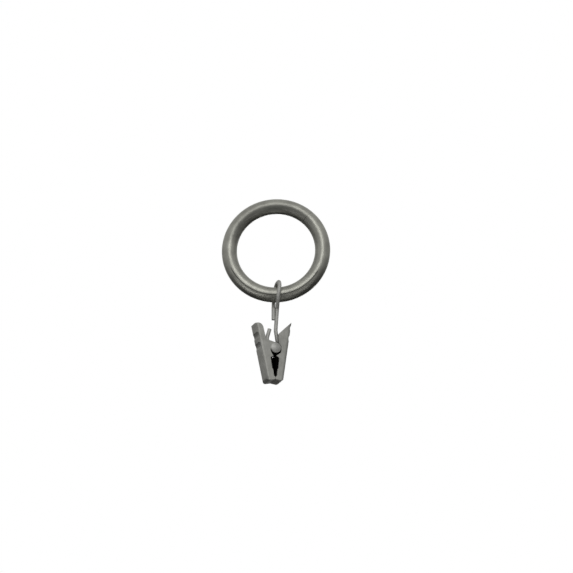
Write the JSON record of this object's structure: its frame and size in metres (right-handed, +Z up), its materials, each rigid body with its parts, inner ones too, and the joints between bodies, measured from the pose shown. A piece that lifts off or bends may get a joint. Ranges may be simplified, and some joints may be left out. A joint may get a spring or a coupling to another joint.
{
  "type": "curtain ring with clip",
  "caption": "Metal curtain ring that slides on a rod, with a wire hanger and a sprung two-jaw clip below it that grips the curtain's top edge.",
  "frame": {"origin": "centre of the ring's opening", "axes": "+Y along the ring's axis, the way the rod passes, away from the viewer; +Z up, with the clip hanging below"},
  "size_m": [0.0486, 0.0124, 0.0861],
  "materials": {
    "satin_ring": "satin pewter-grey plating",
    "satin_wire": "satin pewter-grey plating",
    "satin_sheet": "satin pewter-grey plating",
    "spring_steel": "bare spring steel"
  },
  "bodies": {
    "ring": {"ring": "satin_ring"},
    "hanger": {"hanger": "satin_wire"},
    "pivot": {"pivot_pin": "satin_wire", "torsion_spring": "spring_steel"},
    "left_jaw": {"left_jaw": "satin_sheet"},
    "right_jaw": {"right_jaw": "satin_sheet"}
  },
  "joints": [
    {"name": "hanger_swing", "type": "hinge", "parent": "ring", "child": "hanger", "pos_m": [0, 0, -0.0209], "axis": [1, 0, 0], "range_deg": [-110, 110]},
    {"name": "clip_swing", "type": "hinge", "parent": "hanger", "child": "pivot", "pos_m": [-0.00116, -0.00047, -0.0466], "axis": [-0.3746, 0.9272, 0], "range_deg": [-6, 6]},
    {"name": "left_jaw_open", "type": "hinge", "parent": "pivot", "child": "left_jaw", "pos_m": [-0.00116, -0.00047, -0.0466], "axis": [-0.3746, 0.9272, 0], "range_deg": [0, 11], "stiffness_Nm_per_rad": 0.003, "springref_deg": -20.05, "deforming": ["torsion_spring"]},
    {"name": "right_jaw_open", "type": "hinge", "parent": "pivot", "child": "right_jaw", "pos_m": [-0.00116, -0.00047, -0.0466], "axis": [0.3746, -0.9272, 0], "range_deg": [0, 11], "deforming": ["torsion_spring"]}
  ],
  "couplings": [
    {"joint": "right_jaw_open", "follows": "left_jaw_open", "ratio": 1}
  ]
}
